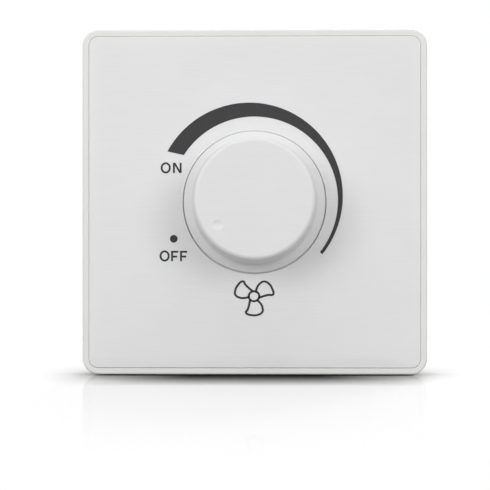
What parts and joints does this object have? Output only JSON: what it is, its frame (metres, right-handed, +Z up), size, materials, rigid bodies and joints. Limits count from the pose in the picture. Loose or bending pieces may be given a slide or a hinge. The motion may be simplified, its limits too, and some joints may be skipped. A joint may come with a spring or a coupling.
{
  "type": "fan speed control switch",
  "caption": "Square wall plate with a round push-on knob that switches a fan and sets its speed, a printed tapering scale and a module box behind.",
  "frame": {"origin": "centre of the plate on the wall's surface, midway between the two wall screw slots", "axes": "+X to the viewer's right, +Y into the wall, +Z up; the knob faces -Y"},
  "size_m": [0.086, 0.0576, 0.086],
  "materials": {
    "cover_plastic": "fine matt moulded plastic",
    "knob_plastic": "fine matt moulded plastic",
    "frame_plastic": "satin moulded plastic",
    "scale_ink": "printed dark grey ink",
    "housing_plastic": "matt moulded plastic",
    "screw_steel": "zinc plated",
    "board_laminate": "paper laminate",
    "shaft_metal": "turned",
    "pot_steel": "nickel plated pressing",
    "wafer_laminate": "brown laminate",
    "rotor_plastic": "acetal",
    "contact_bronze": "spring bronze",
    "terminal_tin": "tinned",
    "switch_plastic": "black moulding",
    "triac_epoxy": "black epoxy",
    "sink_aluminium": "mill finish",
    "choke_ferrite": "sintered ferrite",
    "choke_copper": "enamelled copper wire",
    "capacitor_box": "yellow box",
    "capacitor_dip": "red dipped coat",
    "resistor_body": "tan lacquer",
    "diac_glass": "blue lacquer",
    "block_plastic": "dark grey moulding",
    "terminal_brass": "machined brass"
  },
  "bodies": {
    "base": {"front_cover": "cover_plastic", "speed_scale_print": "scale_ink", "mounting_frame": "frame_plastic", "rear_housing": "housing_plastic", "housing_screws": "screw_steel", "circuit_board": "board_laminate", "pot_bush": "pot_steel", "pot_lock_washer": "pot_steel", "pot_nut": "pot_steel", "pot_can": "pot_steel", "track_wafer": "wafer_laminate", "track_terminals": "terminal_tin", "switch_case": "switch_plastic", "switch_terminals": "terminal_tin", "triac_body": "triac_epoxy", "triac_tab": "terminal_tin", "triac_leads": "terminal_tin", "triac_screw": "screw_steel", "triac_nut": "screw_steel", "heat_sink": "sink_aluminium", "choke_core": "choke_ferrite", "choke_winding": "choke_copper", "snubber_capacitor": "capacitor_box", "timing_capacitor": "capacitor_dip", "component_leads": "terminal_tin", "resistors": "resistor_body", "diac": "diac_glass", "terminal_block": "block_plastic", "terminal_pillars": "terminal_brass", "terminal_screws": "screw_steel"},
    "knob": {"knob": "knob_plastic", "pot_shaft": "shaft_metal", "shaft_ring": "pot_steel", "pot_rotor": "rotor_plastic", "wiper": "contact_bronze"}
  },
  "joints": [
    {"name": "knob_turn", "type": "hinge", "parent": "base", "child": "knob", "pos_m": [0, -0.009, 0], "axis": [0, 1, 0], "range_deg": [0, 250]}
  ]
}
